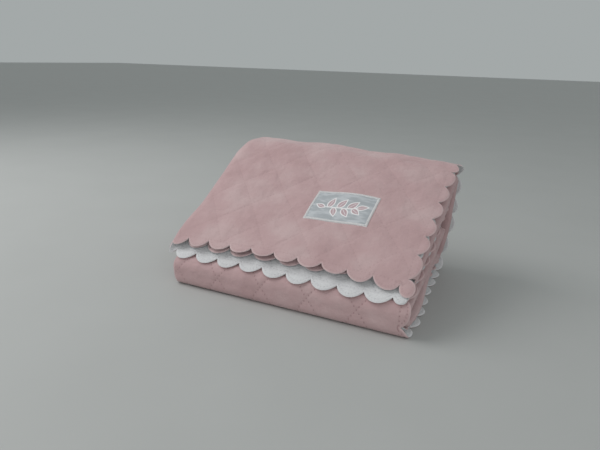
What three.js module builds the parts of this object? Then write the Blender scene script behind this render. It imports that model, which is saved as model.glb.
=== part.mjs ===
import * as THREE from 'three';

// A child's quilted blanket with scalloped edges, folded in four across its width and in three
// along its length. Sizes are in millimetres. X runs to the right along the front fold, Y goes
// back from the front and Z is up. The blanket rests on its bottom layer.

// The two fabrics that are quilted together, and the hair's breadth between them.
const FACE_THICK = 1.2;
const REVERSE_THICK = 1.2;
const FABRIC_GAP = 0.4;
const BOTTOM_LAYER = FABRIC_GAP / 2 + FACE_THICK;

// Scalloped edge: round lobes as deep as LOBE_DEPTH, and a small round lobe at each corner whose
// first notch is CORNER_REACH further in. BORDER is the plain strip outside the quilting.
const LOBE_DEPTH = 11;
const CORNER_REACH = 9;
const BORDER = 17;
const LOBES_ACROSS = 39;
const LOBES_ALONG = 27;

// Diamond quilting: the diamonds' size, and how far their middles stand up from the stitched
// lines, on the outermost layer and on the layers that press on each other.
const DIAMOND_WIDTH = 70;
const DIAMOND_HEIGHT = 80;
const PUFF_OUTSIDE = 2.2;
const PUFF_INSIDE = 0.4;
const PUFF_FADE = 8;
const BORDER_FADE = 12;

// The packet's width on its left and right route, and the cloth length of the top flap.
const PACKET_WIDTH = 350;
const FLAP_LENGTH = 270;

// The outermost layer's route, seen from the right. It starts beyond the flap's free front edge,
// goes up to the crest, down the back, forward along the surface, up the front fold and back
// inside. y and z give each corner at the blanket's left and right sides, and bend its radius.
// pitch is the distance between layers there, left and right the blanket's two side edges.
const ROUTE = [
  { y: [-14, -14], z: [69, 58.5], bend: 0, pitch: [7.4, 5], left: -12, right: 352 },
  { y: [12, 12], z: [77, 65], bend: 60, pitch: [7.8, 5.2], left: -10, right: 352 },
  { y: [84, 90], z: [108, 104], bend: 90, pitch: [9.5, 8.5], left: -5, right: 352 },
  { y: [168, 190], z: [165, 154], bend: 60, pitch: [12, 12], left: -3, right: 352 },
  { y: [207, 214], z: [186, 166], bend: 50, pitch: [10.5, 10.5], left: 0, right: 353 },
  { y: [268, 268], z: [188, 181], bend: 36, pitch: [8.6, 8.6], left: 3, right: 354 },
  { y: [270, 270], z: [95, 92], bend: 200, pitch: [9, 9], left: 4, right: 350 },
  { y: [267, 267], z: [BOTTOM_LAYER, BOTTOM_LAYER], bend: 33, pitch: [8.6, 8.6], left: 4, right: 340 },
  { y: [182, 182], z: [BOTTOM_LAYER, BOTTOM_LAYER], bend: 0, pitch: [12.5, 12.5], left: 3, right: 344 },
  { y: [36, 36], z: [BOTTOM_LAYER, BOTTOM_LAYER], bend: 0, pitch: [4.9, 4.9], left: 0, right: 356 },
  { y: [-4, -4], z: [BOTTOM_LAYER, BOTTOM_LAYER], bend: 17.5, pitch: [4.6, 4.6], left: 0, right: 354 },
  { y: [-4, -4], z: [40, 40], bend: 17.5, pitch: [4.6, 4.6], left: -2, right: 353 },
  { y: [120, 120], z: [80, 76], bend: 120, pitch: [11.5, 11], left: 2, right: 349 },
  { y: [186, 186], z: [109, 103], bend: 120, pitch: [16.5, 16], left: 4, right: 346 },
  { y: [229, 229], z: [119, 113], bend: 0, pitch: [16.5, 16], left: 5, right: 345 },
];
const FLAP_START = 24;

// The cloth's way across the packet, from the free edge at the top right. depth counts layers
// below the outermost one, at the start and the end of each stretch, and flat is its width.
const ACROSS = [
  { name: 'outermost layer', depth: [0, 0], flat: 340, columns: 10 },
  { name: 'outer left fold', depth: [0, 3], flat: 47, columns: 6 },
  { name: 'innermost layer', depth: [3, 3], flat: 329, columns: 4 },
  { name: 'right fold', depth: [3, 2], flat: 24, columns: 5 },
  { name: 'third layer', depth: [2, 2], flat: 307, columns: 4 },
  { name: 'inner left fold', depth: [2, 1], flat: 16, columns: 5 },
  { name: 'second layer', depth: [1, 1], flat: 337, columns: 4 },
];
const INNER_FOLD_SET_IN = 17;
const RIGHT_FOLD_SET_IN = 5;
const INNER_EDGE_SET_IN = 6;

// How far the front edge reaches beyond or short of the flap's own, by place across the cloth.
const FRONT_REACH = [
  { across: 0, reach: 0 },
  { across: 330, reach: 2 },
  { across: 400, reach: 19 },
  { across: 700, reach: 20 },
  { across: 750, reach: 5 },
  { across: 1030, reach: -6 },
  { across: 1080, reach: -14 },
  { across: 1400, reach: -12 },
];

// Slow waves keep the packet uneven. They fade out towards the surface that it rests on.
const WAVES = [
  { height: 1.6, alongX: 0.021, alongY: 0.013, phase: 0.6 },
  { height: 1.1, alongX: 0.034, alongY: -0.019, phase: 2.1 },
];
const WAVE_FADE = 60;

// The sewn-on label, by its place in the cloth. clear is the room between it and the quilting.
const LABEL = { across: [94, 189], along: [81, 143], thick: 1, clear: 1, columns: 6, rows: 4 };

// The mesh's steps: the most that it turns between rows in a fold, the bends that count as folds,
// the least distance between rows, and the chords in a lobe on each side of the cloth.
const ARC_STEP = THREE.MathUtils.degToRad(24);
const SLIGHT_BEND = 0.4;
const CLOSEST_LINES = 9;
const CLOSEST_FOLD_LINES = 5;
const CLOSEST_STOPS = 2.5;
const POINTS_AHEAD = 5;
const EDGE_STEPS = { front: 5, back: 3, outer: 5, inner: 5 };
const CORNER_STEPS = 4;

const mix = THREE.MathUtils.lerp;
const clamp01 = (f) => THREE.MathUtils.clamp(f, 0, 1);
const ease = (f) => f * f * (3 - 2 * f);

// Turns one side's corners into straight stretches and arcs, in order.
function routePieces(side) {
  const corners = ROUTE.map((row) => new THREE.Vector2(row.y[side], row.z[side]));
  const pieces = [];
  let from = corners[0];
  for (let i = 1; i < corners.length - 1; i += 1) {
    const heading = corners[i].clone().sub(corners[i - 1]).normalize();
    const next = corners[i + 1].clone().sub(corners[i]).normalize();
    const turn = Math.atan2(heading.cross(next), heading.dot(next));
    const radius = ROUTE[i].bend;
    const reach = radius * Math.tan(Math.abs(turn) / 2);
    const start = corners[i].clone().addScaledVector(heading, -reach);
    pieces.push({ from, heading, radius: 0, turn: 0, length: from.distanceTo(start) });
    pieces.push({ from: start, heading, radius, turn, length: radius * Math.abs(turn) });
    from = corners[i].clone().addScaledVector(next, reach);
  }
  const last = corners[corners.length - 1];
  const heading = last.clone().sub(from).normalize();
  pieces.push({ from, heading, radius: 0, turn: 0, length: from.distanceTo(last) });
  return pieces;
}

function pointOnPiece(piece, f) {
  if (piece.radius === 0) return piece.from.clone().addScaledVector(piece.heading, f * piece.length);
  const side = Math.sign(piece.turn);
  const angle = Math.abs(piece.turn) * f;
  const inward = new THREE.Vector2(-piece.heading.y * side, piece.heading.x * side);
  return piece.from.clone()
    .addScaledVector(piece.heading, piece.radius * Math.sin(angle))
    .addScaledVector(inward, piece.radius * (1 - Math.cos(angle)));
}

const LEFT_PIECES = routePieces(0);
const RIGHT_PIECES = routePieces(1);
const PIECE_STARTS = [0];
LEFT_PIECES.forEach((piece, k) => {
  PIECE_STARTS.push(PIECE_STARTS[k] + (piece.length + RIGHT_PIECES[k].length) / 2);
});
const ROUTE_LENGTH = PIECE_STARTS[LEFT_PIECES.length];
const CLOTH_LENGTH = ROUTE_LENGTH - FLAP_START;

// How far along the route the middle of each corner of the table lies.
const CORNER_AT = ROUTE.map((row, i) => {
  if (i === 0) return 0;
  if (i === ROUTE.length - 1) return ROUTE_LENGTH;
  return (PIECE_STARTS[2 * i - 1] + PIECE_STARTS[2 * i]) / 2;
});

// From here to the cloth's back end it lies inside the packet.
const INSIDE_CORNER = 11;
const INSIDE_FROM = CORNER_AT[INSIDE_CORNER] - FLAP_START;

const STRETCH_STARTS = [0];
ACROSS.forEach((stretch, k) => STRETCH_STARTS.push(STRETCH_STARTS[k] + stretch.flat));
const CLOTH_WIDTH = STRETCH_STARTS[ACROSS.length];

// The last index whose start isn't beyond the value.
function spanOf(starts, value) {
  let k = 0;
  while (k < starts.length - 2 && starts[k + 1] < value) k += 1;
  return k;
}

function routePoint(run, side) {
  const k = spanOf(PIECE_STARTS, run);
  const f = (run - PIECE_STARTS[k]) / (PIECE_STARTS[k + 1] - PIECE_STARTS[k] || 1);
  return pointOnPiece(LEFT_PIECES[k], f).lerp(pointOnPiece(RIGHT_PIECES[k], f), side);
}

// One value of the route table, eased from corner to corner.
function routeValue(run, read) {
  const i = spanOf(CORNER_AT, run);
  const f = clamp01((run - CORNER_AT[i]) / (CORNER_AT[i + 1] - CORNER_AT[i]));
  return mix(read(ROUTE[i]), read(ROUTE[i + 1]), ease(f));
}

function pitchAt(run, x) {
  const side = clamp01(x / PACKET_WIDTH);
  return routeValue(run, (row) => mix(row.pitch[0], row.pitch[1], side));
}

function frontReach(w) {
  const i = spanOf(FRONT_REACH.map((row) => row.across), w);
  const [low, high] = [FRONT_REACH[i], FRONT_REACH[i + 1]];
  const f = clamp01((w - low.across) / (high.across - low.across));
  return mix(low.reach, high.reach, ease(f));
}

// Where a place across the cloth lies in the packet's width, and how far below the outermost layer.
function placeAcross(w, run) {
  const left = routeValue(run, (row) => row.left);
  const right = routeValue(run, (row) => row.right);
  const outerFold = 1.5 * pitchAt(run, left);
  const innerFold = 0.5 * pitchAt(run, left);
  const rightFold = 0.5 * pitchAt(run, right);
  const outerCentre = left + outerFold;
  const innerCentre = left + INNER_FOLD_SET_IN + innerFold;
  const rightCentre = right - RIGHT_FOLD_SET_IN - rightFold;
  const laid = [
    { from: right, to: outerCentre },
    { centre: outerCentre, swing: -outerFold },
    { from: outerCentre, to: rightCentre },
    { centre: rightCentre, swing: rightFold },
    { from: rightCentre, to: innerCentre },
    { centre: innerCentre, swing: -innerFold },
    { from: innerCentre, to: right - INNER_EDGE_SET_IN },
  ];
  const k = spanOf(STRETCH_STARTS, w);
  const f = (w - STRETCH_STARTS[k]) / ACROSS[k].flat;
  const [first, last] = ACROSS[k].depth;
  if (first === last) {
    const x = mix(laid[k].from, laid[k].to, f);
    return { x, fall: first * pitchAt(run, x) };
  }
  const angle = Math.PI * f;
  const depth = (first + last) / 2 - ((last - first) / 2) * Math.cos(angle);
  const x = laid[k].centre + laid[k].swing * Math.sin(angle);
  return { x, fall: depth * pitchAt(run, laid[k].centre) };
}

// The middle of the cloth, w across and t along it, as it lies folded.
function clothMiddle(w, t) {
  const run = FLAP_START + t - frontReach(w) * (1 - clamp01(t / FLAP_LENGTH));
  const { x, fall } = placeAcross(w, run);
  const side = clamp01(x / PACKET_WIDTH);
  const step = 1;
  const here = routePoint(run, side);
  const heading = routePoint(run + step, side).sub(routePoint(run - step, side)).normalize();
  const y = here.x + heading.y * fall;
  const z = here.y - heading.x * fall;
  const wave = WAVES.reduce(
    (sum, row) => sum + row.height * Math.sin(row.alongX * x + row.alongY * y + row.phase),
    0,
  );
  return new THREE.Vector3(x, y, z + wave * clamp01((z - BOTTOM_LAYER) / WAVE_FADE));
}

// The direction that the pink face looks in, square to the cloth.
function clothOutward(w, t) {
  const step = 0.5;
  const alongW = clothMiddle(w + step, t).sub(clothMiddle(w - step, t));
  const alongT = clothMiddle(w, t + step).sub(clothMiddle(w, t - step));
  return alongT.cross(alongW).normalize();
}

// The quilting's relief: one in the middle of a diamond, and nothing on the stitched lines and in
// the border.
function quiltRelief(w, t) {
  const rising = Math.sin(Math.PI * (w / DIAMOND_WIDTH + t / DIAMOND_HEIGHT));
  const falling = Math.sin(Math.PI * (w / DIAMOND_WIDTH - t / DIAMOND_HEIGHT));
  const fromEdge = Math.min(w, CLOTH_WIDTH - w, t, CLOTH_LENGTH - t);
  return Math.sqrt(Math.abs(rising * falling)) * clamp01((fromEdge - BORDER) / BORDER_FADE);
}

// How far the quilting stands up. It is pressed flat where the packet rests.
function outsidePuff(w, t) {
  if (w > STRETCH_STARTS[1]) return PUFF_INSIDE * quiltRelief(w, t);
  const pressed = clamp01((clothMiddle(w, t).z - BOTTOM_LAYER) / PUFF_FADE);
  return PUFF_OUTSIDE * pressed * quiltRelief(w, t);
}

// Mesh columns across the cloth: even steps in each stretch, on the diamonds in the outermost one.
function meshColumns() {
  const columns = [];
  ACROSS.forEach((stretch, k) => {
    const [start, end] = [STRETCH_STARTS[k], STRETCH_STARTS[k + 1]];
    const step = k === 0 ? DIAMOND_WIDTH / 2 : stretch.flat / stretch.columns;
    for (let w = start; w < end - 1; w += step) {
      if (w > BORDER) columns.push(w);
    }
  });
  return columns;
}

// Mesh rows along the cloth: even steps round each fold, and the diamonds' rows between them,
// every second one where the cloth is hidden.
function meshRows() {
  const rows = [];
  LEFT_PIECES.forEach((piece, k) => {
    if (Math.abs(piece.turn) < SLIGHT_BEND) return;
    const steps = Math.ceil(Math.abs(piece.turn) / ARC_STEP);
    for (let i = 0; i <= steps; i += 1) {
      const row = mix(PIECE_STARTS[k], PIECE_STARTS[k + 1], i / steps) - FLAP_START;
      if (rows.every((other) => Math.abs(other - row) > CLOSEST_FOLD_LINES)) rows.push(row);
    }
  });
  const half = DIAMOND_HEIGHT / 2;
  for (let t = half; t < CLOTH_LENGTH - BORDER - CLOSEST_LINES; t += half) {
    const { z } = clothMiddle(CLOTH_WIDTH / 8, t);
    const hidden = z < BOTTOM_LAYER + 1 || t > INSIDE_FROM;
    const wanted = !hidden || Math.round(t / half) % 2 === 0;
    if (wanted && rows.every((row) => Math.abs(row - t) > CLOSEST_LINES)) rows.push(t);
  }
  return rows.sort((a, b) => a - b);
}

// One scalloped side of the cloth, as distances along it and inward from the lobes' tips. outer
// runs from the middle of one corner lobe to the next with steps chords in a lobe, and inner is
// the border line beside it, with a point at each grid line and at the notches between them.
function scallopedSide(length, lobes, steps, gridLines) {
  const reach = LOBE_DEPTH + CORNER_REACH;
  const cornerRadius = reach + LOBE_DEPTH - Math.sqrt(reach ** 2 - CORNER_REACH ** 2 + LOBE_DEPTH ** 2);
  const tip = -0.75 * Math.PI;
  const notch = Math.atan2(LOBE_DEPTH - cornerRadius, reach - cornerRadius);
  const corner = [];
  for (let i = 0; i <= CORNER_STEPS; i += 1) {
    const angle = mix(tip, notch, i / CORNER_STEPS);
    corner.push([cornerRadius * (1 + Math.cos(angle)), cornerRadius * (1 + Math.sin(angle))]);
  }
  const pitch = (length - 2 * reach) / lobes;
  const radius = (pitch ** 2 / 4 + LOBE_DEPTH ** 2) / (2 * LOBE_DEPTH);
  const spread = Math.asin(pitch / 2 / radius);
  const outer = [...corner];
  const stops = [BORDER, ...gridLines, length - BORDER];
  for (let lobe = 0; lobe < lobes; lobe += 1) {
    const middle = reach + (lobe + 0.5) * pitch;
    const start = middle - pitch / 2;
    if (stops.every((stop) => Math.abs(stop - start) > CLOSEST_STOPS)) stops.push(start);
    for (let i = 1; i <= steps; i += 1) {
      const angle = mix(-spread, spread, i / steps);
      outer.push([middle + radius * Math.sin(angle), radius * (1 - Math.cos(angle))]);
    }
  }
  const inner = stops.sort((a, b) => a - b).map((stop) => [stop, BORDER]);
  corner.slice(0, -1).reverse().forEach(([along, inward]) => outer.push([length - along, inward]));
  return { inner, outer };
}

// Joins two runs of points that lie side by side with triangles, by the shorter way across that
// covers none of the outer run's next points.
function zip(points, inner, outer) {
  const triangles = [];
  const span = (a, b) => Math.hypot(points[a][0] - points[b][0], points[a][1] - points[b][1]);
  const turnsLeft = (from, a, b) => {
    const [ax, ay] = [points[a][0] - points[from][0], points[a][1] - points[from][1]];
    const [bx, by] = [points[b][0] - points[from][0], points[b][1] - points[from][1]];
    return ax * by - ay * bx > 0;
  };
  let [i, o] = [0, 0];
  while (i < inner.length - 1 || o < outer.length - 1) {
    const [here, next, edge, nextEdge] = [inner[i], inner[i + 1], outer[o], outer[o + 1]];
    const innerEnds = next === undefined;
    const outerEnds = nextEdge === undefined;
    const innerFits = !innerEnds && outer.slice(o + 1, o + 1 + POINTS_AHEAD).every((point) => (
      !(turnsLeft(point, here, edge) && turnsLeft(point, edge, next) && turnsLeft(point, next, here))
    ));
    const outerFits = !outerEnds && turnsLeft(here, edge, nextEdge);
    const shorter = innerEnds || outerEnds || span(next, edge) < span(here, nextEdge);
    if (innerFits && (shorter || !outerFits)) {
      triangles.push([here, edge, next]);
      i += 1;
    } else {
      triangles.push([here, edge, nextEdge]);
      o += 1;
    }
  }
  return triangles;
}

// Adds a closed ring of points that is given side by side. Each side ends where the next begins.
function addRing(points, sides) {
  const ring = sides.map((side) => side.slice(0, -1).map((point) => points.push(point) - 1));
  return ring.map((side, k) => [...side, ring[(k + 1) % ring.length][0]]);
}

// The flat pattern that both fabrics share: points in the cloth, triangles between them and the
// scalloped outline. A grid follows the quilting, a ring the border line and another the lobes.
function flatPattern() {
  const columns = meshColumns();
  const rows = meshRows();
  const points = [];
  rows.forEach((t) => columns.forEach((w) => points.push([w, t])));
  const at = (i, j) => j * columns.length + i;
  const triangles = [];
  for (let j = 0; j < rows.length - 1; j += 1) {
    for (let i = 0; i < columns.length - 1; i += 1) {
      const [a, b, c, d] = [at(i, j), at(i + 1, j), at(i + 1, j + 1), at(i, j + 1)];
      const middle = quiltRelief((points[a][0] + points[c][0]) / 2, (points[a][1] + points[c][1]) / 2);
      const misfit = (from, to) => (
        Math.abs((quiltRelief(...points[from]) + quiltRelief(...points[to])) / 2 - middle)
      );
      if (misfit(a, c) <= misfit(b, d)) triangles.push([a, b, c], [a, c, d]);
      else triangles.push([a, b, d], [b, c, d]);
    }
  }
  const [lastColumn, lastRow] = [columns.length - 1, rows.length - 1];
  const gridSides = [
    columns.map((_, i) => at(i, 0)),
    rows.map((_, j) => at(lastColumn, j)),
    columns.map((_, i) => at(lastColumn - i, lastRow)),
    rows.map((_, j) => at(0, lastRow - j)),
  ];
  const [width, length] = [CLOTH_WIDTH, CLOTH_LENGTH];
  const backColumns = columns.map((w) => width - w);
  const outerRows = rows.map((t) => length - t);
  const front = scallopedSide(width, LOBES_ACROSS, EDGE_STEPS.front, columns);
  const inside = scallopedSide(length, LOBES_ALONG, EDGE_STEPS.inner, rows);
  const back = scallopedSide(width, LOBES_ACROSS, EDGE_STEPS.back, backColumns);
  const outside = scallopedSide(length, LOBES_ALONG, EDGE_STEPS.outer, outerRows);
  const ringOf = (line) => addRing(points, [
    front[line],
    inside[line].map(([s, d]) => [width - d, s]),
    back[line].map(([s, d]) => [width - s, length - d]),
    outside[line].map(([s, d]) => [d, length - s]),
  ]);
  const borderSides = ringOf('inner');
  const edgeSides = ringOf('outer');
  gridSides.forEach((_, k) => {
    triangles.push(...zip(points, gridSides[k], borderSides[k]));
    triangles.push(...zip(points, borderSides[k], edgeSides[k]));
  });
  return { points, triangles, outline: edgeSides.flatMap((side) => side.slice(0, -1)) };
}

// A rectangle of even cells as a flat pattern.
function rectanglePattern([left, right], [front, back], columns, rows) {
  const points = [];
  const triangles = [];
  const at = (i, j) => j * (columns + 1) + i;
  for (let j = 0; j <= rows; j += 1) {
    for (let i = 0; i <= columns; i += 1) {
      points.push([mix(left, right, i / columns), mix(front, back, j / rows)]);
    }
  }
  for (let j = 0; j < rows; j += 1) {
    for (let i = 0; i < columns; i += 1) {
      triangles.push([at(i, j), at(i + 1, j), at(i + 1, j + 1)], [at(i, j), at(i + 1, j + 1), at(i, j + 1)]);
    }
  }
  const outline = [];
  for (let i = 0; i < columns; i += 1) outline.push(at(i, 0));
  for (let j = 0; j < rows; j += 1) outline.push(at(columns, j));
  for (let i = columns; i > 0; i -= 1) outline.push(at(i, rows));
  for (let j = rows; j > 0; j -= 1) outline.push(at(0, j));
  return { points, triangles, outline };
}

// A closed piece of cloth: the pattern laid at two distances from the cloth's middle, and its rim.
function fabric({ points, triangles, outline }, high, low) {
  const laid = (lift) => points.map(([w, t]) => (
    clothMiddle(w, t).addScaledVector(clothOutward(w, t), lift(w, t))
  ));
  const corners = [...laid(high), ...laid(low)];
  const count = points.length;
  const faces = [];
  triangles.forEach(([a, b, c]) => faces.push(a, c, b, a + count, b + count, c + count));
  outline.forEach((p, i) => {
    const q = outline[(i + 1) % outline.length];
    faces.push(p, q, q + count, p, q + count, p + count);
  });
  const geometry = new THREE.BufferGeometry().setFromPoints(corners);
  geometry.setIndex(faces);
  geometry.computeVertexNormals();
  return geometry;
}

function piece(name, geometry, color, roughness) {
  const material = new THREE.MeshStandardMaterial({ color, roughness, metalness: 0 });
  const mesh = new THREE.Mesh(geometry, material);
  mesh.name = name;
  return mesh;
}

const cloth = flatPattern();
const halfGap = FABRIC_GAP / 2;
const facePanel = fabric(
  cloth,
  (w, t) => halfGap + FACE_THICK + outsidePuff(w, t),
  () => halfGap,
);
const reversePanel = fabric(
  cloth,
  () => -halfGap,
  (w, t) => -halfGap - REVERSE_THICK - PUFF_INSIDE * quiltRelief(w, t),
);
const labelUnder = halfGap + FACE_THICK + PUFF_OUTSIDE + LABEL.clear;
const label = fabric(
  rectanglePattern(LABEL.across, LABEL.along, LABEL.columns, LABEL.rows),
  () => labelUnder + LABEL.thick,
  () => labelUnder,
);

const blanket = new THREE.Group();
blanket.name = 'folded_quilted_blanket';
blanket.add(
  piece('face_panel', facePanel, 0xd98a94, 0.85),
  piece('reverse_panel', reversePanel, 0xe9e2dd, 0.9),
  piece('label', label, 0xc9d3da, 0.55),
);

// The origin goes under the middle of the packet.
const box = new THREE.Box3().setFromObject(blanket);
const centre = box.getCenter(new THREE.Vector3());
blanket.children.forEach((mesh) => mesh.geometry.translate(-centre.x, -centre.y, -box.min.z));

export default blanket;
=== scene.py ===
# %% [markdown]
# # A folded quilted blanket
# A child's blanket lies folded on a plain surface. It is two fabrics quilted together, pink velvet
# outside and white plush inside, with a scalloped edge all round and a small satin label.
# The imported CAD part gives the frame: every piece here takes the place of one of its nodes.

import math

import bpy
import numpy as np
from mathutils import Matrix, Vector, kdtree


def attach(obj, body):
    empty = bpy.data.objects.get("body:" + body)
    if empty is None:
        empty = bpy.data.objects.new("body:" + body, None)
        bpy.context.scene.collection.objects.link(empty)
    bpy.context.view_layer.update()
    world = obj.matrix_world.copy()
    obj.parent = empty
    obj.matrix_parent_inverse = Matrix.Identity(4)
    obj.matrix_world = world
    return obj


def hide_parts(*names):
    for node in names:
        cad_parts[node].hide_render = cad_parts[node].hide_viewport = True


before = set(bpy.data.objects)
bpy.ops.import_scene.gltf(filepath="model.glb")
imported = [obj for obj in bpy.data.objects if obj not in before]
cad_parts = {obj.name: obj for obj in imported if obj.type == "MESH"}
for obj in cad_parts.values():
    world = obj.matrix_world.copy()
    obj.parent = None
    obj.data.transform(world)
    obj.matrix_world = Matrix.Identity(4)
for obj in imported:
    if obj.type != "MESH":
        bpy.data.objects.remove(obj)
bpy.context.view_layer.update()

# %% [markdown]
# ## The way the cloth is folded
# Real folded cloth is one sheet that runs back and forth, here four layers across and three along.
# A cloth simulation could fold it, but where the layers end up would be chance, and they have to lie
# as in the photo. So the fold is written down: its middle surface has two coordinates in the flat
# cloth, w across and t along, and each goes its own way, t along a route in side view that wraps
# round the packet, and w through a stack of four layers. Everything in these cells is in
# millimetres, with x to the right, y to the back and z up.

# %% The route in side view
FACE_THICK = 1.2
REVERSE_THICK = 1.2
FABRIC_GAP = 0.4
BOTTOM = FABRIC_GAP / 2 + FACE_THICK
PACKET_WIDTH = 350
# x and y of the frame's origin in these cells.
PACKET_MIDDLE = (171.8146, 132.9444)
# How far along the route the flap's edge starts, and the length over which its layers' edges differ.
FLAP_START = 24
FLAP_LENGTH = 270

# One row for each corner of the route, as left and right values where the two sides differ:
# y, z, the bend's radius, the distance between layers, and the packet's left and right edges.
ROUTE = [
    ((-14, -14), (54, 57), 0, (5.2, 5), -14, 352),
    ((12, 12), (64, 64), 60, (5.8, 5.2), -13, 352),
    ((84, 90), (110, 104), 90, (9.5, 8.5), -7, 352),
    ((168, 190), (173, 154), 60, (12, 12), -4, 352),
    ((200, 214), (190, 168), 50, (10.5, 10.5), -1, 353),
    ((266, 270), (189, 192), 32, (8.6, 8.6), 3, 354),
    ((270, 270), (95, 92), 200, (9, 9), 4, 350),
    ((267, 267), (BOTTOM, BOTTOM), 33, (8.6, 8.6), 4, 340),
    ((182, 182), (BOTTOM, BOTTOM), 0, (12.5, 12.5), 3, 344),
    ((36, 36), (BOTTOM, BOTTOM), 0, (4.9, 4.9), 0, 356),
    ((-4, -4), (BOTTOM, BOTTOM), 17.5, (4.6, 4.6), 0, 354),
    ((-4, -4), (35, 39), 17.5, (4.6, 4.6), -2, 353),
    ((120, 120), (74, 74), 120, (11.5, 11), 2, 349),
    ((186, 186), (109, 103), 120, (16.5, 16), 4, 346),
    ((229, 229), (119, 113), 0, (16.5, 16), 5, 345),
]


def route_pieces(side):
    """The route's stretches and arcs on one side, as rows of start, heading, radius, turn and length."""
    corners = np.array([(row[0][side], row[1][side]) for row in ROUTE], float)
    rows, start = [], corners[0]
    for i in range(1, len(corners) - 1):
        heading = corners[i] - corners[i - 1]
        heading = heading / np.hypot(*heading)
        after = corners[i + 1] - corners[i]
        after = after / np.hypot(*after)
        turn = math.atan2(heading[0] * after[1] - heading[1] * after[0], heading @ after)
        reach = ROUTE[i][2] * math.tan(abs(turn) / 2)
        bend_start = corners[i] - heading * reach
        rows.append((*start, *heading, 0, 0, np.hypot(*(bend_start - start))))
        rows.append((*bend_start, *heading, ROUTE[i][2], turn, ROUTE[i][2] * abs(turn)))
        start = corners[i] + after * reach
    heading = corners[-1] - start
    rows.append((*start, *(heading / np.hypot(*heading)), 0, 0, np.hypot(*heading)))
    return np.array(rows)


PIECES = [route_pieces(side) for side in (0, 1)]
STARTS = np.concatenate([[0], np.cumsum((PIECES[0][:, 6] + PIECES[1][:, 6]) / 2)])
ROUTE_LENGTH = STARTS[-1]
CLOTH_LENGTH = ROUTE_LENGTH - FLAP_START
FRONT_BEND = (STARTS[19], STARTS[20])
CORNER_AT = np.array(
    [0] + [(STARTS[2 * i - 1] + STARTS[2 * i]) / 2 for i in range(1, len(ROUTE) - 1)] + [ROUTE_LENGTH]
)


def point_on_side(side, k, f):
    y, z, hy, hz, radius, turn, length = PIECES[side][k].T
    sign = np.sign(turn)
    angle = np.abs(turn) * f
    arc = radius > 0
    along = np.where(arc, radius * np.sin(angle), f * length)
    inward = np.where(arc, radius * (1 - np.cos(angle)), 0) * sign
    return y + hy * along - hz * inward, z + hz * along + hy * inward


def route_point(run, side):
    k = np.clip(np.searchsorted(STARTS, run, side="left") - 1, 0, len(STARTS) - 2)
    span = STARTS[k + 1] - STARTS[k]
    f = (run - STARTS[k]) / np.where(span > 0, span, 1)
    (y0, z0), (y1, z1) = point_on_side(0, k, f), point_on_side(1, k, f)
    return y0 + (y1 - y0) * side, z0 + (z1 - z0) * side


def route_value(run, left_values, right_values, side):
    """A value of the route's table at run, eased from corner to corner, between the left and right side."""
    k = np.clip(np.searchsorted(CORNER_AT, run, side="left") - 1, 0, len(CORNER_AT) - 2)
    f = np.clip((run - CORNER_AT[k]) / (CORNER_AT[k + 1] - CORNER_AT[k]), 0, 1)
    f = f * f * (3 - 2 * f)
    left, right = np.array(left_values, float), np.array(right_values, float)
    value = left + (right - left) * np.asarray(side)[..., None]
    return np.take_along_axis(value, k[..., None], -1)[..., 0] * (1 - f) + (
        np.take_along_axis(value, k[..., None] + 1, -1)[..., 0] * f
    )


print("route", round(ROUTE_LENGTH, 1), "mm, cloth length", round(CLOTH_LENGTH, 1), "mm")

# %% The layers across the packet
# Each stretch across the cloth: the layers that it lies below the outermost one at its start and
# end, and its flat width. The cloth starts at the free edge at the top right.
ACROSS = [(0, 0, 352), (0, 3, 52), (3, 3, 329), (3, 2, 24), (2, 2, 307), (2, 1, 16), (1, 1, 320)]
ACROSS_STARTS = np.concatenate([[0], np.cumsum([row[2] for row in ACROSS])]).astype(float)
CLOTH_WIDTH = ACROSS_STARTS[-1]
INNER_FOLD_SET_IN = 17
RIGHT_FOLD_SET_IN = 5
INNER_EDGE_SET_IN = 6
# How far the cloth's front edge reaches past the flap's start, at places across the cloth.
FRONT_REACH = [
    (0, 4), (60, 1), (345, 2), (420, 17), (720, 21),
    (765, -20), (880, -1), (1045, 2), (1095, -14), (1400, -26),
]
# Slow waves of the surface: height, waves in x and in y in radians a mm, and phase.
WAVES = [(1.6, 0.021, 0.013, 0.6), (1.1, 0.034, -0.019, 2.1)]
SETTLE_WAVES = [(0.5, 0.061, 0.047, 0), (0.4, -0.05, 0.083, 1.3)]
WAVE_FADE = 60
CROWN = 5
CROWN_FADE = 150
# The outermost layer's front edge hangs down onto the layers below it: how far, from left to right.
FLAP_DROOP = [(-12, 8), (20, 7.5), (60, 3), (150, 2.5), (230, 3.5), (290, 8), (352, 15)]
DROOP_LENGTH = 42
DROOP_POWER = 1.4
# The white row's lobes curl down a little, and the front fold's free corner is pressed in.
LOBE_CURL = 3.5
CURL_LENGTH = 15
CURL_POWER = 1.5
CURL_FADES = (20, 10)
CORNER_PRESS = 4


def column(index, pick=None):
    return [row[index] if pick is None else row[index][pick] for row in ROUTE]


def pitch_at(run, x):
    return route_value(run, column(3, 0), column(3, 1), np.clip(x / PACKET_WIDTH, 0, 1))


def eased_table(table, value):
    at, level = np.array(table, float).T
    k = np.clip(np.searchsorted(at, value, side="left") - 1, 0, len(at) - 2)
    f = np.clip((value - at[k]) / (at[k + 1] - at[k]), 0, 1)
    return level[k] + (level[k + 1] - level[k]) * f * f * (3 - 2 * f)


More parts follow.
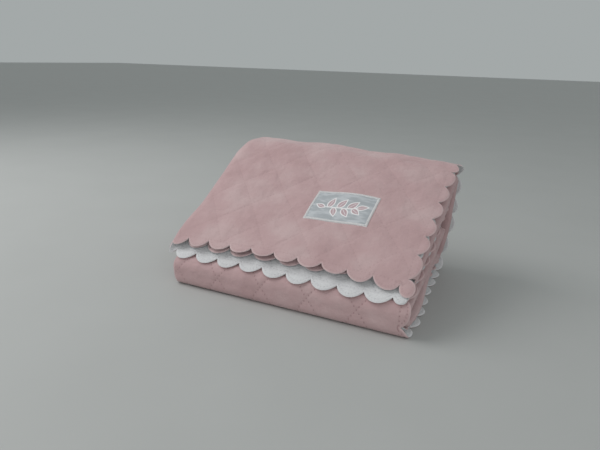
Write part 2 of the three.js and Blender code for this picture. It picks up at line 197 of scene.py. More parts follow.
def place_across(w, run):
    """x in the packet and the depth below the outermost layer of a place across the cloth."""
    zero = np.zeros_like(run)
    left = route_value(run, column(4), column(4), zero)
    right = route_value(run, column(5), column(5), zero)
    outer, inner = 1.5 * pitch_at(run, left), 0.5 * pitch_at(run, left)
    turn = 0.5 * pitch_at(run, right)
    outer_centre, inner_centre = left + outer, left + INNER_FOLD_SET_IN + inner
    right_centre = right - RIGHT_FOLD_SET_IN - turn
    ends = [
        (right, outer_centre),
        (outer_centre, -outer),
        (outer_centre, right_centre),
        (right_centre, turn),
        (right_centre, inner_centre),
        (inner_centre, -inner),
        (inner_centre, right - INNER_EDGE_SET_IN),
    ]
    k = np.clip(np.searchsorted(ACROSS_STARTS, w, side="left") - 1, 0, len(ACROSS) - 1)
    x, fall = np.zeros_like(run), np.zeros_like(run)
    for i, ((a, b), (first, last, flat)) in enumerate(zip(ends, ACROSS)):
        here = k == i
        f = (w - ACROSS_STARTS[i]) / flat
        if first == last:
            xi = a + (b - a) * f
            depth = first * pitch_at(run, xi)
        else:
            xi = a + b * np.sin(math.pi * f)
            depth = ((first + last) / 2 - (last - first) / 2 * np.cos(math.pi * f)) * pitch_at(run, a)
        x, fall = np.where(here, xi, x), np.where(here, depth, fall)
    return x, fall


def waves(table, x, y):
    return sum(height * np.sin(kx * x + ky * y + phase) for height, kx, ky, phase in table)


def cloth_middle(w, t):
    """The middle of the folded cloth at w across and t along it, as an array of points."""
    run = FLAP_START + t - eased_table(FRONT_REACH, w) * (1 - np.clip(t / FLAP_LENGTH, 0, 1))
    x, fall = place_across(w, run)
    side = np.clip(x / PACKET_WIDTH, 0, 1)
    outermost = np.clip((ACROSS_STARTS[2] - w) / ACROSS[1][2], 0, 1)
    pressed = np.clip((run - FRONT_BEND[0]) / (FRONT_BEND[1] - FRONT_BEND[0]), 0, 1)
    fall = fall - CORNER_PRESS * np.sin(np.pi * pressed) ** 2 * outermost
    y, z = route_point(run, side)
    (y0, z0), (y1, z1) = route_point(run - 1, side), route_point(run + 1, side)
    size = np.hypot(y1 - y0, z1 - z0)
    y, z = y + (z1 - z0) / size * fall, z - (y1 - y0) / size * fall
    wave = waves(WAVES, x, y) + CROWN * np.sin(np.pi * side) * np.clip(1 - y / CROWN_FADE, 0, 1)
    droop = eased_table(FLAP_DROOP, x) * np.clip(1 - t / DROOP_LENGTH, 0, 1) ** DROOP_POWER * outermost
    fade_in, fade_out = CURL_FADES
    innermost = np.clip((w - ACROSS_STARTS[2] + fade_in) / fade_in, 0, 1)
    innermost = innermost * np.clip((ACROSS_STARTS[3] + fade_out - w) / fade_out, 0, 1)
    droop = droop + LOBE_CURL * np.clip(1 - t / CURL_LENGTH, 0, 1) ** CURL_POWER * innermost
    return np.stack([x, y, z - droop + wave * np.clip((z - BOTTOM) / WAVE_FADE, 0, 1)], -1)


def cloth_outward(w, t, step=0.5):
    """The direction that the pink face looks in, square to the cloth."""
    along_w = cloth_middle(w + step, t) - cloth_middle(w - step, t)
    along_t = cloth_middle(w, t + step) - cloth_middle(w, t - step)
    normal = np.cross(along_t, along_w)
    return normal / np.linalg.norm(normal, axis=-1, keepdims=True)


print("cloth", CLOTH_WIDTH, "by", round(CLOTH_LENGTH), "mm")

# %% [markdown]
# ## The flat pattern
# A maker would cut both fabrics to one scalloped outline. A plain grid could be trimmed to it, but
# that leaves a ragged edge. So the pattern is a fine grid inside the border line, and rings of
# points that lead from the border line out to the lobes. It is finest where the cloth shows.

# %% Scalloped outline
# Lobes stand out by LOBE_DEPTH. The corner lobe takes up CORNER_REACH more of each side, and the
# border line, where the grid ends, lies BORDER in from the lobes' tips.
LOBE_DEPTH = 11
CORNER_REACH = 9
BORDER = 17
LOBES_ACROSS = 39
LOBES_ALONG = 27
LOBE_STEPS = 14
CORNER_STEPS = 9


def scalloped_side(length, lobes):
    """One side from corner to corner: distance along it, and distance in from the lobes' tips."""
    reach = LOBE_DEPTH + CORNER_REACH
    corner_radius = reach + LOBE_DEPTH - math.sqrt(reach**2 - CORNER_REACH**2 + LOBE_DEPTH**2)
    notch = math.atan2(LOBE_DEPTH - corner_radius, reach - corner_radius)
    angles = np.linspace(-0.75 * math.pi, notch, CORNER_STEPS + 1)
    corner = corner_radius * (1 + np.stack([np.cos(angles), np.sin(angles)], -1))
    pitch = (length - 2 * reach) / lobes
    radius = (pitch**2 / 4 + LOBE_DEPTH**2) / (2 * LOBE_DEPTH)
    spread = math.asin(pitch / 2 / radius)
    angles = np.linspace(-spread, spread, LOBE_STEPS + 1)[1:]
    middles = reach + (np.arange(lobes)[:, None] + 0.5) * pitch
    along = (middles + radius * np.sin(angles)).ravel()
    inward = np.tile(radius * (1 - np.cos(angles)), lobes)
    far = corner[-2::-1] * (-1, 1) + (length, 0)
    return np.concatenate([corner, np.stack([along, inward], -1), far])


def place_side(k, points):
    """A side's points in the cloth: front, inside edge, back and outside edge, round the cloth."""
    s, d = np.asarray(points, float).T
    width, length = CLOTH_WIDTH, CLOTH_LENGTH
    return np.stack([(s, d), (width - d, s), (width - s, length - d), (d, length - s)][k], -1)


SIDE_LENGTHS = [CLOTH_WIDTH, CLOTH_LENGTH, CLOTH_WIDTH, CLOTH_LENGTH]
SIDE_LOBES = [LOBES_ACROSS, LOBES_ALONG, LOBES_ACROSS, LOBES_ALONG]
print("points on the front side's outline", len(scalloped_side(CLOTH_WIDTH, LOBES_ACROSS)))

# %% Grid, rings and triangles
# The grid's steps in mm, and how far across and along the cloth it has the fine one.
FINE, COARSE = 3.0, 9.0
FINE_WIDTH = 402
FINE_LENGTH = 750
RING_PLACES = [0, 0.1, 0.3, 0.6]


def spaced(low, middle, high):
    fine = np.linspace(low, middle, round((middle - low) / FINE) + 1)
    coarse = np.linspace(middle, high, round((high - middle) / COARSE) + 1)[1:]
    return np.concatenate([fine, coarse])


def zip_lines(points, inner, outer):
    """Triangles between two runs of points side by side, by the shorter way across."""
    triangles, i, o = [], 0, 0
    at = points.tolist()

    def span(a, b):
        return math.hypot(at[a][0] - at[b][0], at[a][1] - at[b][1])

    while i < len(inner) - 1 or o < len(outer) - 1:
        inner_ends, outer_ends = i == len(inner) - 1, o == len(outer) - 1
        if outer_ends or (not inner_ends and span(inner[i + 1], outer[o]) < span(inner[i], outer[o + 1])):
            triangles.append((inner[i], outer[o], inner[i + 1]))
            i += 1
        else:
            triangles.append((inner[i], outer[o], outer[o + 1]))
            o += 1
    return triangles


def flat_pattern():
    """The pattern's points (w, t), its triangles and the outline as a loop of point numbers."""
    columns = spaced(BORDER + FINE, FINE_WIDTH, CLOTH_WIDTH - BORDER - COARSE)
    rows = spaced(BORDER + FINE, FINE_LENGTH, CLOTH_LENGTH - BORDER - COARSE)
    w, t = np.meshgrid(columns, rows)
    blocks = [np.stack([w.ravel(), t.ravel()], -1)]
    number = np.arange(w.size).reshape(w.shape)
    a, b, c, d = number[:-1, :-1], number[:-1, 1:], number[1:, 1:], number[1:, :-1]
    even = (np.add.outer(np.arange(a.shape[0]), np.arange(a.shape[1])) % 2 == 0)[..., None]
    first = np.where(even, np.stack([a, b, c], -1), np.stack([a, b, d], -1))
    second = np.where(even, np.stack([a, c, d], -1), np.stack([b, c, d], -1))
    triangles = [first.reshape(-1, 3), second.reshape(-1, 3)]
    lines = [[number[0], number[:, -1], number[-1, ::-1], number[::-1, 0]]]
    count = w.size
    sides = [scalloped_side(length, lobes) for length, lobes in zip(SIDE_LENGTHS, SIDE_LOBES)]
    rings = []
    for place in [1, *RING_PLACES[::-1]]:
        ring = []
        for k, side in enumerate(sides):
            along = np.clip(side[:, 0], BORDER, SIDE_LENGTHS[k] - BORDER)
            border = np.stack([along, np.full(len(side), BORDER)], -1)
            line = place_side(k, side + (border - side) * place)
            keep = np.concatenate([[True], np.any(np.abs(np.diff(line, axis=0)) > 1e-6, axis=1)])
            ring.append(line[keep][:-1])
        numbers, start = [], count
        for line in ring:
            numbers.append(np.arange(count, count + len(line)))
            count += len(line)
            blocks.append(line)
        closed = [np.append(n, numbers[(k + 1) % 4][0]) for k, n in enumerate(numbers)]
        lines.append(closed)
    points = np.concatenate(blocks)
    for inner, outer in zip(lines[:-1], lines[1:]):
        for k in range(4):
            triangles.append(np.array(zip_lines(points, inner[k].tolist(), outer[k].tolist())))
    outline = np.concatenate([line[:-1] for line in lines[-1]])
    return points, np.concatenate(triangles), outline


PATTERN, TRIANGLES, OUTLINE = flat_pattern()
print("pattern", len(PATTERN), "points", len(TRIANGLES), "triangles")

# %% [markdown]
# ## The quilting and the edge as measures on the cloth
# On the blanket the edge is rolled and stitched, and the filling puffs up between the stitched
# lines. Both could be sculpted on the folded cloth, but they belong to the flat one. So each point
# of the pattern gets its distance from the scalloped edge and its place in the diamonds once,
# before the cloth is folded, and both follow it round every fold.

# %% Distance from the scalloped edge
# Farther in than EDGE_REACH the distance doesn't matter. Each outline step is cut into parts first.
EDGE_REACH = 26
EDGE_PARTS = 5


def edge_measures(points):
    """Each point's distance from the outline and the distance along the outline to the place nearest it."""
    loop = PATTERN[OUTLINE]
    steps = np.roll(loop, -1, axis=0) - loop
    lengths = np.hypot(*steps.T)
    parts = np.linspace(0, 1, EDGE_PARTS + 1, endpoint=False)
    dense = (loop[:, None] + steps[:, None] * parts[None, :, None]).reshape(-1, 2)
    run = (np.concatenate([[0], np.cumsum(lengths)[:-1]])[:, None] + lengths[:, None] * parts).ravel()
    tree = kdtree.KDTree(len(dense))
    for i, (w, t) in enumerate(dense):
        tree.insert((w, t, 0), i)
    tree.balance()
    w, t = points.T
    near = np.minimum(np.minimum(w, CLOTH_WIDTH - w), np.minimum(t, CLOTH_LENGTH - t)) < EDGE_REACH
    edge, along = np.full(len(points), float(EDGE_REACH)), np.zeros(len(points))
    for i in np.flatnonzero(near):
        _, index, distance = tree.find((w[i], t[i], 0))
        edge[i], along[i] = distance, run[index]
    return edge, along


W, T = PATTERN.T
EDGE, ALONG = edge_measures(PATTERN)
print("points near the edge", int((EDGE < EDGE_REACH).sum()))

# %% Puffs between the stitched lines, and the rolled edge
DIAMOND_WIDTH = 70
DIAMOND_HEIGHT = 80
QUILT_SHIFT = (1.5, -12)
# The straight row of stitches and the scalloped one, by their distance in from the edge.
STRAIGHT_ROW = 13
SCALLOP_ROW = 3.8
# The layer that shows puffs up more than those inside the packet.
OUTER_LAYER = 352
PUFF_OUTSIDE = 1.3
PUFF_INSIDE = 0.5
PUFF_ROUNDNESS = 0.62
PUFF_FADE = 14
ROLL_WIDTH = 2.2
ROW_PRESS = 0.3
ROW_WIDTH = 1.3


def quilt_relief(w, t):
    u, v = (w + QUILT_SHIFT[0]) / DIAMOND_WIDTH, (t + QUILT_SHIFT[1]) / DIAMOND_HEIGHT
    diamonds = np.abs(np.sin(np.pi * (u + v)) * np.sin(np.pi * (u - v))) ** PUFF_ROUNDNESS
    inside = np.minimum(np.minimum(w, CLOTH_WIDTH - w), np.minimum(t, CLOTH_LENGTH - t))
    return diamonds * np.clip((inside - STRAIGHT_ROW) / PUFF_FADE, 0, 1)


def edge_thickness(edge):
    """The share of its thickness that a fabric has: round at the edge, pressed at the stitched row."""
    rolled = np.sqrt(np.clip(1 - (1 - np.clip(edge / ROLL_WIDTH, 0, 1)) ** 2, 0, 1))
    return rolled * (1 - ROW_PRESS * np.exp(-(((edge - SCALLOP_ROW) / ROW_WIDTH) ** 2)))


LABEL_ACROSS = (90, 187)
LABEL_ALONG = (81, 142)
LABEL_PRESS = 0.6
LABEL_FADE = 7


def under_label(w, t):
    """1 under the label, fading round it."""
    out_w = np.maximum(np.maximum(LABEL_ACROSS[0] - w, w - LABEL_ACROSS[1]), 0)
    out_t = np.maximum(np.maximum(LABEL_ALONG[0] - t, t - LABEL_ALONG[1]), 0)
    return np.clip(1 - np.hypot(out_w, out_t) / LABEL_FADE, 0, 1)


RELIEF = quilt_relief(W, T) * (1 - LABEL_PRESS * under_label(W, T))
THICKNESS = edge_thickness(EDGE)
print("highest puff", round(float(RELIEF.max()), 2))

# %% Folding the pattern
MM = 0.001
# Puffs fade away over this height above the floor.
FLOOR_CLEARANCE = 8


def fold(w, t, lift):
    """The place in the scene, in metres, of points of the cloth that lie lift above its middle."""
    middle, outward = cloth_middle(w, t), cloth_outward(w, t)
    x, y, z = middle.T
    middle[:, 2] += np.clip((z - BOTTOM) / WAVE_FADE, 0, 1) * waves(SETTLE_WAVES, x, y)
    placed = middle + outward * lift[:, None]
    placed[:, 2] = np.maximum(placed[:, 2], 0)
    return (placed - (*PACKET_MIDDLE, 0)) * MM


def cloth_object(name, places, triangles, w, t, **measures):
    """A mesh of cloth with its flat pattern as its UV map, and measures kept at its points."""
    mesh = bpy.data.meshes.new(name)
    mesh.vertices.add(len(places))
    mesh.vertices.foreach_set("co", np.ascontiguousarray(places, dtype=np.float32).ravel())
    mesh.loops.add(triangles.size)
    mesh.loops.foreach_set("vertex_index", np.ascontiguousarray(triangles, dtype=np.int32).ravel())
    mesh.polygons.add(len(triangles))
    mesh.polygons.foreach_set("loop_start", np.arange(0, triangles.size, 3, dtype=np.int32))
    mesh.update(calc_edges=True)
    mesh.validate()
    flat = np.stack([w, t], -1)[triangles.ravel()] * MM
    mesh.uv_layers.new(name="cloth").data.foreach_set("uv", flat.astype(np.float32).ravel())
    for key, values in measures.items():
        mesh.attributes.new(key, "FLOAT", "POINT").data.foreach_set("value", np.asarray(values, np.float32))
    mesh.polygons.foreach_set("use_smooth", np.ones(len(triangles), dtype=bool))
    piece = bpy.data.objects.new(name, mesh)
    bpy.context.scene.collection.objects.link(piece)
    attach(piece, "root")
    return piece


FLOOR_FADE = np.clip((cloth_middle(W, T)[:, 2] - BOTTOM) / FLOOR_CLEARANCE, 0, 1)
FACE_PUFF = np.where(W > OUTER_LAYER, PUFF_INSIDE, PUFF_OUTSIDE * FLOOR_FADE) * RELIEF
face_lift = (FABRIC_GAP / 2 + FACE_THICK) * THICKNESS + FACE_PUFF
reverse_lift = -(FABRIC_GAP / 2 + REVERSE_THICK) * THICKNESS - PUFF_INSIDE * RELIEF
measures = {"edge": EDGE, "along": ALONG}
velvet_face = cloth_object("velvet_face", fold(W, T, face_lift), TRIANGLES[:, ::-1], W, T, **measures)
plush_reverse = cloth_object("plush_reverse", fold(W, T, reverse_lift), TRIANGLES, W, T, **measures)
print("velvet", len(velvet_face.data.polygons), "plush", len(plush_reverse.data.polygons), "triangles")

# %% [markdown]
# ## The satin label
# A small satin rectangle is sewn on top, with a raised, thickly overstitched border. It could be
# modelled flat and bent afterwards. It is cloth too, so it is laid on the same fold, a little above
# the velvet, as a fine grid. The motif is a plain leaf sprig: each leaf is a distance in the
# label's own plane, which gives a filled shape and an embroidered outline without any picture.

# %% The label's grid
LABEL_STEP = 0.5
LABEL_THICK = 0.8
LABEL_BORDER = 3.6

label_columns = np.linspace(*LABEL_ACROSS, round((LABEL_ACROSS[1] - LABEL_ACROSS[0]) / LABEL_STEP) + 1)
label_rows = np.linspace(*LABEL_ALONG, round((LABEL_ALONG[1] - LABEL_ALONG[0]) / LABEL_STEP) + 1)
LW, LT = (grid.ravel() for grid in np.meshgrid(label_columns, label_rows))
# The label is read from its front, so its own x runs against w.
LX = (LABEL_ACROSS[1] - LW) - (LABEL_ACROSS[1] - LABEL_ACROSS[0]) / 2
LY = LT - sum(LABEL_ALONG) / 2
number = np.arange(LW.size).reshape(len(label_rows), len(label_columns))
a, b, c, d = number[:-1, :-1], number[:-1, 1:], number[1:, 1:], number[1:, :-1]
LABEL_TRIANGLES = np.concatenate([np.stack(q, -1).reshape(-1, 3) for q in ([a, c, b], [a, d, c])])
print("label", len(LABEL_TRIANGLES), "triangles")

# %% The leaf sprig
# Each leaf: where its stalk meets the stem, the way it points in degrees, its length and its width.
LEAVES = [
    ((-25, -4), 162, 15, 8),
    ((-20, -3), 76, 20, 9.5),
    ((-12, -2), -70, 18, 9),
    ((-6, -2), 60, 20, 10),
    ((2, -2), -52, 19, 9.5),
    ((9, -1.5), 48, 20, 10),
    ((16, -0.5), -36, 17, 9),
    ((22, 1), 18, 18, 9),
]
OUTLINE_WIDTH = 1.7
VEIN_HALF_WIDTH = 0.35
STEM_HALF_WIDTH = 0.9
STEM_HALF_LENGTH = 25


def leaf_distance(x, y, leaf):
    """Roughly how far outside a leaf a point lies in mm, below zero inside, and its place in the leaf."""
    (x0, y0), angle, length, width = leaf
    turn = math.radians(angle)
    u = ((x - x0) * math.cos(turn) + (y - y0) * math.sin(turn)) / length
    v = -(x - x0) * math.sin(turn) + (y - y0) * math.cos(turn)
    half = width / 2 * np.sin(np.pi * np.clip(u, 0, 1) ** 0.8)
    past = np.maximum(np.maximum(-u, u - 1), 0) * length
    return np.hypot(past, np.maximum(np.abs(v) - half, 0)) + np.minimum(np.abs(v) - half, 0), np.abs(v), u


fill, line = np.zeros(LW.size), np.zeros(LW.size)
for leaf in LEAVES:
    distance, from_vein, u = leaf_distance(LX, LY, leaf)
    fill = np.maximum(fill, np.clip(0.5 - distance / LABEL_STEP, 0, 1))
    line = np.maximum(line, np.clip((OUTLINE_WIDTH / 2 - np.abs(distance)) / LABEL_STEP + 0.5, 0, 1))
    vein = np.clip((VEIN_HALF_WIDTH - from_vein) / LABEL_STEP + 0.5, 0, 1) * (u > 0) * (u < 0.75)
    line = np.maximum(line, vein)
stem = np.abs(LY + 2 - 0.00018 * (LX + 6) ** 3)
stem = np.clip((STEM_HALF_WIDTH - stem) / LABEL_STEP + 0.5, 0, 1) * (np.abs(LX + 1) < STEM_HALF_LENGTH)
line = np.maximum(line, stem)
print("share of the label in leaves", round(float(fill.mean()), 2))

# %% Laying the label on the velvet
LABEL_EDGE = 0.6
BEAD_HEIGHT = 0.55
LINE_HEIGHT = 0.15
# The label stands a little off the velvet in the middle, over these lengths of a half wave.
MIDDLE_RISE = 0.5
RISE_SIZE = (95, 62)

to_end = np.minimum(LW - LABEL_ACROSS[0], LABEL_ACROSS[1] - LW)
to_side = np.minimum(to_end, np.minimum(LT - LABEL_ALONG[0], LABEL_ALONG[1] - LT))
border = np.clip((LABEL_BORDER - to_side) / LABEL_STEP + 0.5, 0, 1)
bead = np.sqrt(np.clip(1 - ((to_side - LABEL_BORDER / 2) / (LABEL_BORDER / 2)) ** 2, 0, 1))
rise = MIDDLE_RISE * np.sin(np.pi * (LX / RISE_SIZE[0] + 0.5)) * np.sin(np.pi * (LY / RISE_SIZE[1] + 0.5))
label_puff = PUFF_OUTSIDE * (1 - LABEL_PRESS) * quilt_relief(LW, LT)
raised = LABEL_THICK * np.clip(to_side / LABEL_EDGE, 0, 1) + BEAD_HEIGHT * bead + LINE_HEIGHT * line
label_lift = FABRIC_GAP / 2 + FACE_THICK + label_puff + raised + rise
# The border's stitches run across it, so their ridges are counted along t at the label's ends and
# along w on its long sides.
along_border = np.where(to_end < LABEL_BORDER, LT, LW)
measures = {"leaf": fill, "line": line, "border": border, "along": along_border}
satin_label = cloth_object("satin_label", fold(LW, LT, label_lift), LABEL_TRIANGLES, LW, LT, **measures)
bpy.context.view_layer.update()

# %% [markdown]
# ## Materials
# All three cloths are matt, and differ in pile, stitches and threads. Their node trees could be
# linked one by one, but they are easier to read as sums. So a small class wraps a socket: an
# expression such as 1 - mask adds the Math nodes it needs, and every other node comes from one method.

# %% Sums on sockets
class Reading:
    """A number that varies over a surface. Sums on it add Math nodes to the material."""

    def __init__(self, finish, socket):
        self.finish, self.socket = finish, socket

    def math(self, operation, *others):
        node = self.finish.node("ShaderNodeMath", {"operation": operation}, [self, *others])
        return Reading(self.finish, node.outputs[0])

    def __add__(self, other):
        return self.math("ADD", other)

    def __sub__(self, other):
        return self.math("SUBTRACT", other)

    def __rsub__(self, other):
        return self * -1 + other

    def __mul__(self, other):
        return self.math("MULTIPLY", other)

    def __truediv__(self, other):
        return self.math("DIVIDE", other)

    def __abs__(self):
        return self.math("ABSOLUTE")

    __radd__, __rmul__ = __add__, __mul__

    def smaller(self, other):
        return self.math("MINIMUM", other)

    def bigger(self, other):
        return self.math("MAXIMUM", other)

    def from_whole(self):
        """How far the number is from the nearest whole number."""
        return abs(self - self.math("ROUND"))

    def fading(self, full, none):
        """1 where the number is at full, 0 where it is at none, and eased between them."""
        node = self.finish.node(
            "ShaderNodeMapRange",
            {"interpolation_type": "SMOOTHSTEP"},
            {"Value": self, "From Min": full, "From Max": none, "To Min": 1.0, "To Max": 0.0},
        )
        return Reading(self.finish, node.outputs["Result"])


class Finish:
    """A material being made: its nodes, and the soft principled surface that they lead to."""

    def __init__(self, name, **constants):
        self.material = bpy.data.materials.new(name)
        self.material.use_nodes = True
        self.tree = self.material.node_tree
        self.tree.nodes.clear()
        self.surface = self.node("ShaderNodeBsdfPrincipled", {}, constants)
        self.node("ShaderNodeOutputMaterial", {}, {"Surface": self.surface.outputs[0]})

    def node(self, kind, settings=None, sockets=()):
        """A new node with its settings and its sockets' values or links, by name or in order."""
        node = self.tree.nodes.new(kind)
        for key, value in (settings or {}).items():
            setattr(node, key, value)
        pairs = sockets.items() if isinstance(sockets, dict) else enumerate(sockets)
        for key, value in pairs:
            self.feed(node.inputs[key], value)
        return node

    def feed(self, socket, value):
        value = value.socket if isinstance(value, Reading) else value
        if isinstance(value, bpy.types.NodeSocket):
            self.tree.links.new(value, socket)
        else:
            socket.default_value = value

    def measure(self, name):
        """A measure kept at the cloth's points, such as the distance from its edge in mm."""
        node = self.node("ShaderNodeAttribute", {"attribute_name": name})
        return Reading(self, node.outputs["Fac"])

    def flat_place(self):
        """The place on the flat cloth in mm, across and along."""
        flat = self.node("ShaderNodeUVMap", {"uv_map": "cloth"}).outputs[0]
        parts = self.node("ShaderNodeSeparateXYZ", {}, [flat])
        return [Reading(self, parts.outputs[i]) * 1000 for i in (0, 1)]

    def noise(self, scale, detail=2.0, rough=0.5, stretch=(1, 1, 1)):
        """Noise in the object's own space, scale features a metre."""
        place = self.node("ShaderNodeTexCoord").outputs["Object"]
        place = self.node("ShaderNodeVectorMath", {"operation": "MULTIPLY"}, [place, stretch]).outputs[0]
        sockets = {"Vector": place, "Scale": scale, "Detail": detail, "Roughness": rough}
        return Reading(self, self.node("ShaderNodeTexNoise", {}, sockets).outputs["Fac"])

    def mix(self, factor, first, second):
        """A colour between two others."""
        sockets = {0: factor, 6: first, 7: second}
        return self.node("ShaderNodeMix", {"data_type": "RGBA"}, sockets).outputs[2]

    def bump(self, height, depth, under=None):
        """Bump of height, which runs from 0 to 1, as relief of depth in metres."""
        sockets = {"Height": height, "Distance": depth, "Strength": 1.0}
        if under is not None:
            sockets["Normal"] = under
        return self.node("ShaderNodeBump", {}, sockets).outputs[0]

    def dress(self, piece):
        piece.data.materials.clear()
        piece.data.materials.append(self.material)
        print(self.material.name, len(self.tree.nodes), "nodes")


# %% [markdown]
# ## Stitching
# Every stitched line on the blanket shows as a row of small pressed-in dots about 5 mm apart: two
# families of slanting lines make the diamonds, one straight row runs round inside the border, and
# one follows each scallop. Dots this small are too fine for the mesh, so the shader makes them from
# the place on the flat cloth, both as dimples and as a darker colour, which is painted shade in the
# dimples.

# %% Dots and stitched lines from the flat cloth
LINE_GAP = 1 / math.hypot(1 / DIAMOND_WIDTH, 1 / DIAMOND_HEIGHT)
LINE_REPEAT = math.hypot(DIAMOND_WIDTH, DIAMOND_HEIGHT) / 2
DOTS_A_REPEAT = 10
DOT_GAP = 5.0
DOT_SIZE = 1.0
DIAMOND_LINE_WIDTH = 3.2
ROW_LINE_WIDTH = 2.4


def stitching(finish):
    """Masks of the stitch dots and of the pressed-down lines that they lie in."""
    w, t = finish.flat_place()
    edge, along = finish.measure("edge"), finish.measure("along")
    to_w, to_t = w.smaller(CLOTH_WIDTH - w), t.smaller(CLOTH_LENGTH - t)
    quilted = to_w.smaller(to_t).fading(STRAIGHT_ROW + 0.5, STRAIGHT_ROW - 0.5)
    u, v = (w + QUILT_SHIFT[0]) / DIAMOND_WIDTH, (t + QUILT_SHIFT[1]) / DIAMOND_HEIGHT
    dots, lines = None, None
    for across, run in ((u + v, u - v), (u - v, u + v)):
        off = across.from_whole() * LINE_GAP
        beside = (run * DOTS_A_REPEAT).from_whole() * (LINE_REPEAT / DOTS_A_REPEAT)
        dot = (off * off + beside * beside).fading((DOT_SIZE * 0.5) ** 2, (DOT_SIZE * 1.3) ** 2) * quilted
        line = off.fading(0, DIAMOND_LINE_WIDTH) * quilted
        dots, lines = (dot, line) if dots is None else (dots.bigger(dot), lines.bigger(line))
    for off, run, held in (
        (abs(to_t - STRAIGHT_ROW), w, to_w),
        (abs(to_w - STRAIGHT_ROW), t, to_t),
        (abs(edge - SCALLOP_ROW), along, None),
    ):
        beside = (run / DOT_GAP).from_whole() * DOT_GAP
        dot = (off * off + beside * beside).fading((DOT_SIZE * 0.45) ** 2, (DOT_SIZE * 1.2) ** 2)
        line = off.fading(0, ROW_LINE_WIDTH)
        if held is not None:
            inside = held.fading(STRAIGHT_ROW, STRAIGHT_ROW - 1)
            dot, line = dot * inside, line * inside
        dots, lines = dots.bigger(dot), lines.bigger(line)
    return dots, lines, edge


print("stitched lines", round(LINE_GAP, 1), "mm apart")
print("dots on them", round(LINE_REPEAT / DOTS_A_REPEAT, 2), "mm apart")

# %% [markdown]
# ## Pink velvet
# Short pile catches the light at grazing angles, and it looks lighter or darker in broad patches
# where it has been brushed one way or another. It could be made as hair, but the pile is finer than
# the picture shows. So the surface is rough with a soft sheen, a fine bump and patches of colour.
# The stitches get painted shade in their grooves and dots, and round the front fold the dots'
# painted shade is darker and the stitches are pressed deeper than on top.

# %% Velvet
VELVET = (0.585, 0.395, 0.40, 1)
VELVET_LIGHT = (0.64, 0.465, 0.465, 1)
VELVET_DARK = (0.49, 0.31, 0.315, 1)
VELVET_RIM = (0.74, 0.57, 0.57, 1)
VELVET_DOT_SHADE = (0.40, 0.235, 0.24, 1)

velvet = Finish(
    "pink_velvet",
    **{"Sheen Weight": 0.45, "Sheen Roughness": 0.45, "Sheen Tint": (1.0, 0.88, 0.88, 1), "Roughness": 0.9},
)
dots, lines, edge = stitching(velvet)
brushed = velvet.noise(16, 3, 0.55, (1, 1, 1.4))
pile = velvet.noise(900, 2, 0.6)
colour = velvet.mix(brushed.fading(0.72, 0.45), VELVET, VELVET_LIGHT)
colour = velvet.mix(brushed.fading(0.3, 0.5) * 0.4, colour, VELVET_DARK)
colour = velvet.mix(pile.fading(0.35, 0.65) * 0.16, colour, VELVET_DARK)
colour = velvet.mix(edge.fading(0.2, 2.2) * 0.7, colour, VELVET_RIM)
# The stitched lines are painted a little darker, as the shade in their grooves.
colour = velvet.mix(lines * 0.05, colour, VELVET_DARK)
round_the_front = velvet.flat_place()[1].fading(FRONT_BEND[0], FRONT_BEND[0] - 40)
# The stitch dots are painted darker, as the shade in their dimples, and more so round the front fold.
colour = velvet.mix(dots * (0.2 + round_the_front * 0.5), colour, VELVET_DOT_SHADE)
velvet.feed(velvet.surface.inputs["Base Color"], colour)
creases = velvet.noise(45, 3, 0.5)
relief = velvet.bump(creases, 0.004)
relief = velvet.bump(1 - (lines + dots) * (0.2 + round_the_front * 0.3), 0.0005, relief)
relief = velvet.bump(pile, 0.0005, relief)
velvet.feed(velvet.surface.inputs["Normal"], relief)
velvet.dress(velvet_face)

# %% [markdown]
# ## White plush
# The reverse is a white short-haired plush, whose tufts lie less evenly than velvet. Only its lobes
# show, so hair would be wasted here too. It has a coarser bump and almost no shine.

# %% Plush
PLUSH = (0.80, 0.79, 0.80, 1)
PLUSH_SHADE = (0.62, 0.60, 0.62, 1)
PLUSH_DOT_SHADE = (0.42, 0.40, 0.42, 1)
plush = Finish("white_plush", **{"Sheen Weight": 0.3, "Sheen Roughness": 0.6, "Roughness": 0.95})
dots, lines, edge = stitching(plush)
tufts = plush.noise(420, 3, 0.6)
cloudy = plush.noise(30, 2, 0.5)
colour = plush.mix(tufts.fading(0.3, 0.6) * 0.4, PLUSH, PLUSH_SHADE)
colour = plush.mix(cloudy.fading(0.35, 0.6) * 0.25, colour, PLUSH_SHADE)
# The stitched lines and dots are painted darker, as the shade in their grooves and dimples.
colour = plush.mix(lines * 0.12, colour, PLUSH_SHADE)
colour = plush.mix(dots * 0.18, colour, PLUSH_DOT_SHADE)
plush.feed(plush.surface.inputs["Base Color"], colour)
relief = plush.bump(1 - lines * 0.5 - dots * 0.5, 0.0005)
relief = plush.bump(tufts, 0.0012, relief)
plush.feed(plush.surface.inputs["Normal"], relief)
plush.dress(plush_reverse)

# %% [markdown]
# ## Satin and embroidery
# Satin threads lie side by side and shine along one way. The border and the motif's outlines are
# thick white thread, whose stitches show as fine ridges. Each thread could be a curve, but they are
# under a millimetre wide, so stripes from the place on the label make them, and the measures kept
# at its points say where the thread and the leaves are.

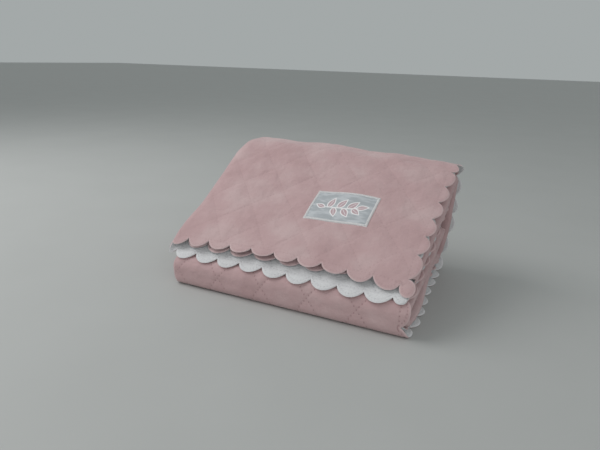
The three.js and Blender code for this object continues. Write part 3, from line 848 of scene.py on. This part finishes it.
# %% Satin label
SATIN = (0.43, 0.455, 0.48, 1)
SATIN_LIGHT = (0.59, 0.61, 0.64, 1)
THREAD_WHITE = (0.95, 0.93, 0.93, 1)
THREAD_SHADE = (0.70, 0.70, 0.72, 1)
LEAF_PINK = (0.56, 0.40, 0.43, 1)
SATIN_THREAD = 0.9
BORDER_STITCH = 1.1
satin = Finish("label_satin", **{"Roughness": 0.5, "Sheen Weight": 0.1})
w, t = satin.flat_place()
leaf, line, border = satin.measure("leaf"), satin.measure("line"), satin.measure("border")
threads = (t / SATIN_THREAD).from_whole() * 2
ridges = (satin.measure("along") / BORDER_STITCH).from_whole() * 2
glint = satin.noise(60, 2, 0.5, (1, 3, 1))
colour = satin.mix(glint.fading(0.65, 0.4), SATIN, SATIN_LIGHT)
colour = satin.mix(threads * 0.12, colour, SATIN_LIGHT)
colour = satin.mix(leaf, colour, LEAF_PINK)
colour = satin.mix(line, colour, THREAD_WHITE)
colour = satin.mix(border, colour, satin.mix(ridges * 0.35, THREAD_WHITE, THREAD_SHADE))
satin.feed(satin.surface.inputs["Base Color"], colour)
satin.feed(satin.surface.inputs["Roughness"], 0.42 + line.bigger(border).bigger(leaf) * 0.35)
relief = satin.bump(threads * (1 - border), 0.0001)
relief = satin.bump(ridges * border, 0.0005, relief)
satin.feed(satin.surface.inputs["Normal"], relief)
satin.dress(satin_label)

# %% [markdown]
# ## Floor, lights and camera
# The blanket lies on a plain pale surface in soft daylight. Two large square lamps, a window from
# the left and a weaker one from the front right, give the photo's soft shadows, which a single
# small lamp would make hard. The camera looks down a little, from the front right.

# %% Floor
FLOOR_REACH = 12
BOARD = (0.47, 0.475, 0.465, 1)
BOARD_LIGHT = (0.51, 0.515, 0.505, 1)

floor_mesh = bpy.data.meshes.new("floor")
floor_corners = [(x * FLOOR_REACH, y * FLOOR_REACH, 0) for x, y in ((-1, -1), (1, -1), (1, 1), (-1, 1))]
floor_mesh.from_pydata(floor_corners, [], [(0, 1, 2, 3)])
floor = bpy.data.objects.new("floor", floor_mesh)
bpy.context.scene.collection.objects.link(floor)
board = Finish("pale_board", **{"Roughness": 0.6})
grain = board.noise(6, 3, 0.5)
board.feed(board.surface.inputs["Base Color"], board.mix(grain, BOARD, BOARD_LIGHT))
board.dress(floor)

# %% Lights
ROOM_LIGHT = (0.56, 0.60, 0.60, 1)
ROOM_STRENGTH = 0.66

world = bpy.data.worlds.new("studio")
bpy.context.scene.world = world
world.use_nodes = True
sky = world.node_tree.nodes["Background"].inputs
sky["Color"].default_value = ROOM_LIGHT
sky["Strength"].default_value = ROOM_STRENGTH

# Each light: name, place, the size of its square, and its power in watts.
LIGHTS = [
    ("window", (-1.3, -0.35, 1.4), 1.3, 16),
    ("room", (1.2, -1.8, 1.2), 1.8, 8.5),
]
LIT_PLACE = (0, 0, 0.08)
for name, place, size, power in LIGHTS:
    light = bpy.data.lights.new(name, "AREA")
    light.shape = "SQUARE"
    light.size = size
    light.energy = power
    lamp = bpy.data.objects.new(name, light)
    lamp.location = place
    lamp.rotation_euler = (Vector(LIT_PLACE) - Vector(place)).to_track_quat("-Z", "Y").to_euler()
    bpy.context.scene.collection.objects.link(lamp)
bpy.context.scene.view_settings.view_transform = "Standard"
print("lights", [row[0] for row in LIGHTS])

# %% Camera
# Its place and its three directions were worked out from the photo, together with the lens.
CAMERA_PLACE = (0.31041, -0.71573, 0.324)
CAMERA_RIGHT = (0.89721794, 0.44077364, 0.02680603)
CAMERA_UP = (-0.15507841, 0.25766974, 0.95370697)
CAMERA_AHEAD = (-0.41346179, 0.85984005, -0.29954039)
CAMERA_LENS = 32.166
CAMERA_SENSOR = 36

camera_data = bpy.data.cameras.new("camera")
camera_data.lens = CAMERA_LENS
camera_data.sensor_width = CAMERA_SENSOR
camera = bpy.data.objects.new("camera", camera_data)
axes = Matrix([CAMERA_RIGHT, CAMERA_UP, [-v for v in CAMERA_AHEAD]]).transposed().to_4x4()
camera.matrix_world = Matrix.Translation(CAMERA_PLACE) @ axes
bpy.context.scene.collection.objects.link(camera)
bpy.context.scene.camera = camera
print("camera at", CAMERA_PLACE)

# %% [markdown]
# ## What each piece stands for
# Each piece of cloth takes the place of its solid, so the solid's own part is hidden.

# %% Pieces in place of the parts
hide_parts("face_panel")
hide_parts("reverse_panel")
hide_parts("label")
CLOTH_LENGTH * MM
CLOTH_LENGTH * MM
